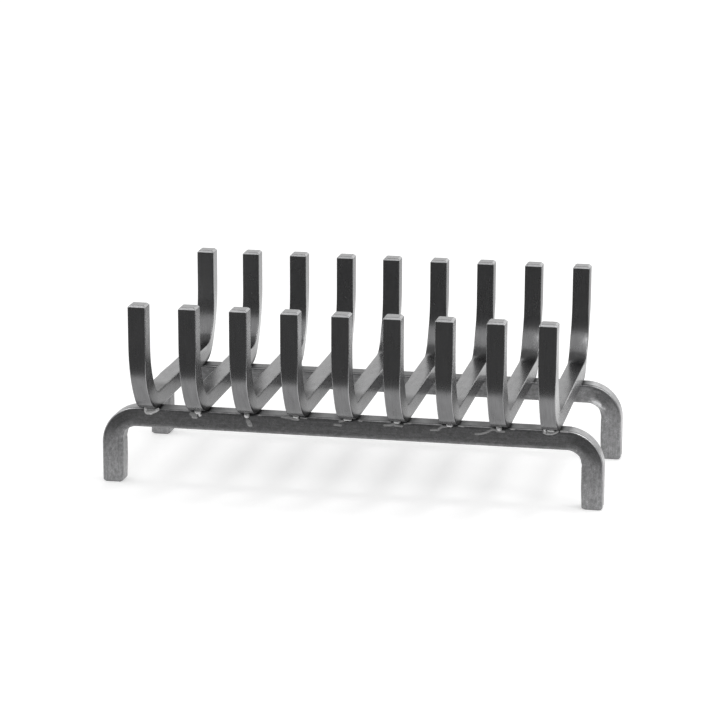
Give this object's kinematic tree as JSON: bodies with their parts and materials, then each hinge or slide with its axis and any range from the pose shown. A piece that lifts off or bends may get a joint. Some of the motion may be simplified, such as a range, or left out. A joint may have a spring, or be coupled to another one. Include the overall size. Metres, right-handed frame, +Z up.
{
  "type": "log grate",
  "caption": "Free-standing fire grate of bent square steel bars: crossbars turned up into prongs lie welded across two rails whose ends bend down into legs.",
  "frame": {"origin": "on the hearth, under the middle of the grate, in the plane of the four feet", "axes": "+X along the rails, to the right seen from the front; +Y to the rear, along the crossbars; +Z up, along the prongs"},
  "size_m": [0.51, 0.292, 0.196],
  "materials": {
    "crossbar_steel": "bare drawn square bar, satin, with fine streaks along its length",
    "rail_steel": "bare rolled square bar, satin and slightly mottled",
    "weld_metal": "bare weld metal, rippled, semi-gloss"
  },
  "bodies": {
    "root": {"front_rail": "rail_steel", "rear_rail": "rail_steel", "crossbar_1": "crossbar_steel", "crossbar_2": "crossbar_steel", "crossbar_3": "crossbar_steel", "crossbar_4": "crossbar_steel", "crossbar_5": "crossbar_steel", "crossbar_6": "crossbar_steel", "crossbar_7": "crossbar_steel", "crossbar_8": "crossbar_steel", "crossbar_9": "crossbar_steel", "front_weld_1": "weld_metal", "front_weld_2": "weld_metal", "front_weld_3": "weld_metal", "front_weld_4": "weld_metal", "front_weld_5": "weld_metal", "front_weld_6": "weld_metal", "front_weld_7": "weld_metal", "front_weld_8": "weld_metal", "front_weld_9": "weld_metal", "rear_weld_1": "weld_metal", "rear_weld_2": "weld_metal", "rear_weld_3": "weld_metal", "rear_weld_4": "weld_metal", "rear_weld_5": "weld_metal", "rear_weld_6": "weld_metal", "rear_weld_7": "weld_metal", "rear_weld_8": "weld_metal", "rear_weld_9": "weld_metal"}
  },
  "joints": []
}
